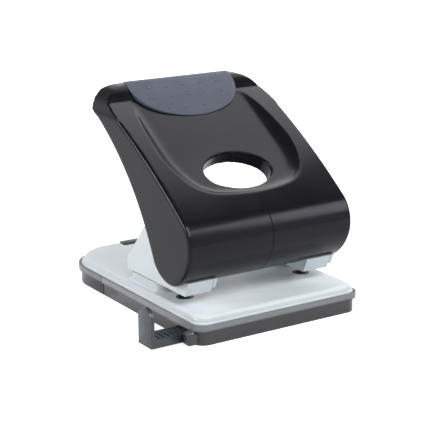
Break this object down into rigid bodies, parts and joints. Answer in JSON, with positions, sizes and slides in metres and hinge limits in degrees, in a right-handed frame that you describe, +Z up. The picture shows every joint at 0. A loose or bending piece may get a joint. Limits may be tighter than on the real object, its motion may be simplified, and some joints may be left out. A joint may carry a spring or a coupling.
{
  "type": "two-hole lever punch",
  "caption": "Heavy two-hole desk punch: long lever handle over twin steel towers with spring-back pins, side paper guide and a chip tray that hinges open.",
  "frame": {"origin": "on the floor, under the middle of the base", "axes": "+Z up, +X to the user's right, -Y towards the user, who feeds the paper in along +Y"},
  "size_m": [0.1335, 0.1526, 0.1256],
  "materials": {
    "plate_paint": "satin light grey paint",
    "tower_steel": "satin light grey paint",
    "bright_steel": "plain bright steel",
    "tool_steel": "ground and polished",
    "zinc_steel": "zinc plated",
    "smoke_plastic": "translucent smoke grey, gloss",
    "black_plastic": "satin gloss black",
    "pad_rubber": "matt blue-grey",
    "foot_rubber": "matt black",
    "guide_plastic": "satin dark blue-grey"
  },
  "bodies": {
    "tray": {"chip_tray": "smoke_plastic", "grip_discs": "foot_rubber"},
    "guide": {"paper_guide": "guide_plastic"},
    "base": {"base_plate": "plate_paint", "left_tower": "tower_steel", "right_tower": "tower_steel", "left_side_plate": "tower_steel", "right_side_plate": "tower_steel", "tower_rivets": "zinc_steel", "foot_rivets": "zinc_steel", "left_guide_block": "bright_steel", "right_guide_block": "bright_steel", "left_die": "tool_steel", "right_die": "tool_steel", "pivot_axle": "bright_steel", "axle_clips": "zinc_steel", "left_pin_spring": "bright_steel", "right_pin_spring": "bright_steel"},
    "handle": {"handle_shell": "black_plastic", "grip_pad": "pad_rubber", "lever_frame": "zinc_steel", "press_bars": "bright_steel", "handle_screws": "zinc_steel"},
    "left_pin": {"left_punch_pin": "tool_steel"},
    "right_pin": {"right_punch_pin": "tool_steel"}
  },
  "joints": [
    {"name": "tray_hinge", "type": "hinge", "parent": "tray", "child": "base", "pos_m": [0, 0.0746, 0.0115], "axis": [-1, 0, 0], "range_deg": [0, 60]},
    {"name": "guide_slide", "type": "slide", "parent": "tray", "child": "guide", "axis": [-1, 0, 0], "range_m": [-0.019, 0.06]},
    {"name": "handle_hinge", "type": "hinge", "parent": "base", "child": "handle", "pos_m": [0, -0.05298, 0.045], "axis": [-1, 0, 0], "range_deg": [0, 36], "stiffness_Nm_per_rad": 0.9, "springref_deg": -28.65},
    {"name": "left_pin_slide", "type": "slide", "parent": "base", "child": "left_pin", "axis": [0, 0, -1], "range_m": [0, 0.0095], "deforming": ["left_pin_spring"]},
    {"name": "right_pin_slide", "type": "slide", "parent": "base", "child": "right_pin", "axis": [0, 0, -1], "range_m": [0, 0.0095], "deforming": ["right_pin_spring"]}
  ],
  "couplings": [
    {"joint": "left_pin_slide", "follows": "handle_hinge", "m_per_rad": 0.014459},
    {"joint": "right_pin_slide", "follows": "handle_hinge", "m_per_rad": 0.014459}
  ]
}
